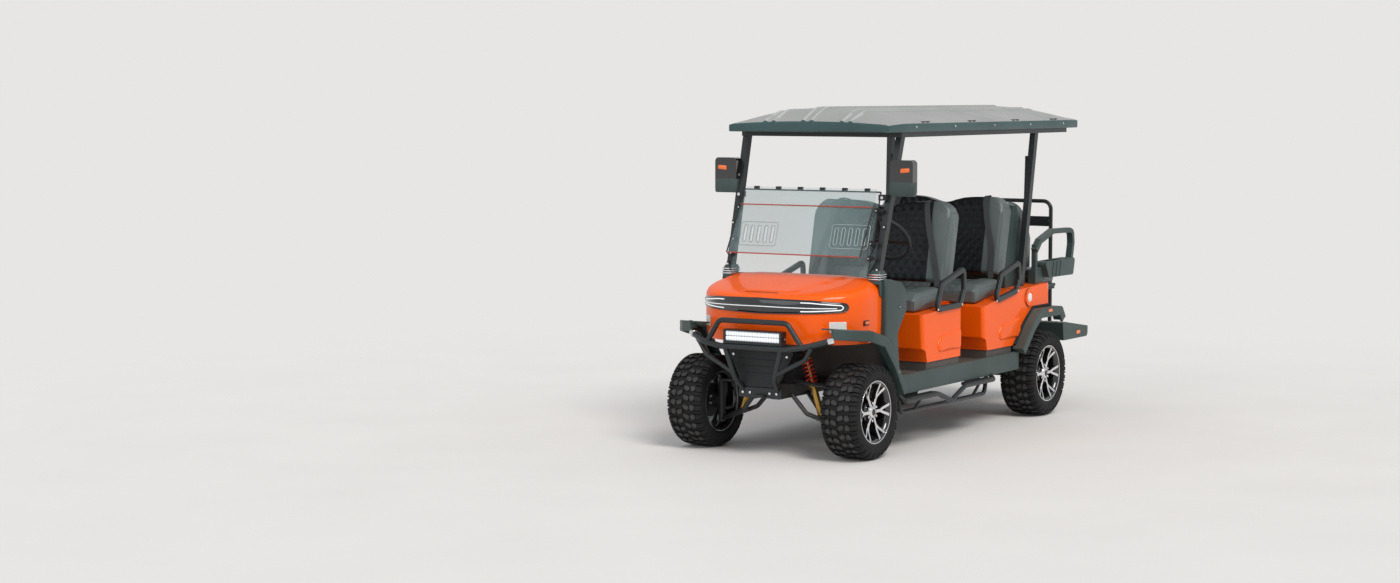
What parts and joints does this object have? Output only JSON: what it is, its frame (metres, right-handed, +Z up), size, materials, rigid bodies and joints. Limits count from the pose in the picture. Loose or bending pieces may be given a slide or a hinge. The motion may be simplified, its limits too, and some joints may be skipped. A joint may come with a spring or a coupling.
{
  "type": "golf cart",
  "caption": "Lifted six-seat electric golf cart with roof, folding windshield, brush guard and a rear-facing flip seat; wheels roll and steer, seat cushions lift.",
  "frame": {"origin": "on the ground under the middle of the cart", "axes": "+Z up, +X to the driver's side, which is the cart's left, and -Y forward"},
  "size_m": [1.43, 3.8015, 2.1358],
  "materials": {
    "frame_steel": "satin black",
    "floor_mat": "ribbed black mat",
    "trim_plastic": "grained dark grey",
    "cowl_grey": "satin dark grey",
    "orange_paint": "gloss orange",
    "gloss_black": "gloss black",
    "lamp_white": "clear white lamp",
    "black_tube": "satin black powder coat",
    "windscreen": "clear with a light tint",
    "roof_black": "satin dark",
    "seat_black": "quilted black vinyl",
    "suspension_steel": "satin black",
    "damper_gold": "gold anodised",
    "spring_red": "gloss red",
    "cast_metal": "dark cast",
    "tyre_rubber": "black rubber",
    "rim_alloy": "machined faces on black",
    "wheel_grip": "soft black grip",
    "pedal_metal": "brushed",
    "battery_case": "grey case"
  },
  "bodies": {
    "vehicle": {"chassis_frame": "frame_steel", "floor_pan": "floor_mat", "rocker_panels": "trim_plastic", "side_steps": "black_tube", "front_cowl": "orange_paint", "dash_panel": "cowl_grey", "headlamp_panel": "gloss_black", "drl_strips": "lamp_white", "front_fenders": "trim_plastic", "brush_guard": "black_tube", "light_bar": "black_tube", "front_panel": "trim_plastic", "windshield_lower": "windscreen", "windshield_upper": "windscreen", "windshield_clips": "trim_plastic", "roof_frame": "black_tube", "roof_panel": "roof_black", "roof_pillars": "black_tube", "front_seat_box": "orange_paint", "rear_body": "orange_paint", "front_seat_back": "seat_black", "mid_seat_back": "seat_black", "rear_seat_back": "seat_black", "front_back_frame": "trim_plastic", "rear_back_frame": "trim_plastic", "front_hip_restraints": "black_tube", "mid_hip_restraints": "black_tube", "rear_armrests": "trim_plastic", "rear_fenders": "trim_plastic", "tail_lamps": "lamp_white", "rear_seat_base": "frame_steel", "footrest": "trim_plastic", "grab_bar": "black_tube", "mirrors": "gloss_black", "front_suspension": "suspension_steel", "front_dampers": "damper_gold", "front_springs": "spring_red", "rear_axle": "cast_metal", "rear_springs": "suspension_steel", "battery_pack": "battery_case", "steering_column": "trim_plastic", "pedals": "pedal_metal"},
    "knuckle_left": {"knuckle_left": "cast_metal"},
    "knuckle_right": {"knuckle_right": "cast_metal"},
    "wheel_front_left": {"tyre_front_left": "tyre_rubber", "rim_front_left": "rim_alloy"},
    "wheel_front_right": {"tyre_front_right": "tyre_rubber", "rim_front_right": "rim_alloy"},
    "wheel_rear_left": {"tyre_rear_left": "tyre_rubber", "rim_rear_left": "rim_alloy"},
    "wheel_rear_right": {"tyre_rear_right": "tyre_rubber", "rim_rear_right": "rim_alloy"},
    "steering_wheel": {"steering_wheel": "wheel_grip"},
    "front_seat_lid": {"front_seat_cushion": "seat_black"},
    "mid_seat_lid": {"mid_seat_cushion": "seat_black"},
    "flip_seat": {"rear_seat_cushion": "seat_black", "cargo_deck": "trim_plastic"},
    "charge_door": {"charge_door": "trim_plastic"}
  },
  "joints": [
    {"name": "steer_left", "type": "hinge", "parent": "vehicle", "child": "knuckle_left", "pos_m": [0.44, -1.53, 0.292], "axis": [0, 0, 1], "range_deg": [-25, 25]},
    {"name": "steer_right", "type": "hinge", "parent": "vehicle", "child": "knuckle_right", "pos_m": [-0.44, -1.53, 0.292], "axis": [0, 0, 1], "range_deg": [-25, 25]},
    {"name": "steering_wheel_turn", "type": "hinge", "parent": "vehicle", "child": "steering_wheel", "pos_m": [0.3, -0.75, 1.3], "axis": [0, 0.788, 0.6157], "range_deg": [-301, 301]},
    {"name": "spin_front_left", "type": "hinge", "parent": "knuckle_left", "child": "wheel_front_left", "pos_m": [0.55, -1.53, 0.292], "axis": [1, 0, 0], "continuous": true},
    {"name": "spin_front_right", "type": "hinge", "parent": "knuckle_right", "child": "wheel_front_right", "pos_m": [-0.55, -1.53, 0.292], "axis": [1, 0, 0], "continuous": true},
    {"name": "spin_rear_left", "type": "hinge", "parent": "vehicle", "child": "wheel_rear_left", "pos_m": [0.55, 0.97, 0.292], "axis": [1, 0, 0], "continuous": true},
    {"name": "spin_rear_right", "type": "hinge", "parent": "vehicle", "child": "wheel_rear_right", "pos_m": [-0.55, 0.97, 0.292], "axis": [1, 0, 0], "continuous": true},
    {"name": "front_seat_lift", "type": "hinge", "parent": "vehicle", "child": "front_seat_lid", "pos_m": [0, -0.747, 0.836], "axis": [1, 0, 0], "range_deg": [0, 40]},
    {"name": "mid_seat_lift", "type": "hinge", "parent": "vehicle", "child": "mid_seat_lid", "pos_m": [0, 0.123, 0.831], "axis": [1, 0, 0], "range_deg": [0, 60]},
    {"name": "flip_seat_turn", "type": "hinge", "parent": "vehicle", "child": "flip_seat", "pos_m": [0, 1.455, 0.87], "axis": [-1, 0, 0], "range_deg": [0, 180]},
    {"name": "charge_door_swing", "type": "hinge", "parent": "vehicle", "child": "charge_door", "pos_m": [0.603, 0.711, 0.829], "axis": [0, 0, 1], "range_deg": [-110, 0]}
  ],
  "couplings": [
    {"joint": "steer_right", "follows": "steer_left", "ratio": 1},
    {"joint": "steering_wheel_turn", "follows": "steer_left", "ratio": 12}
  ]
}
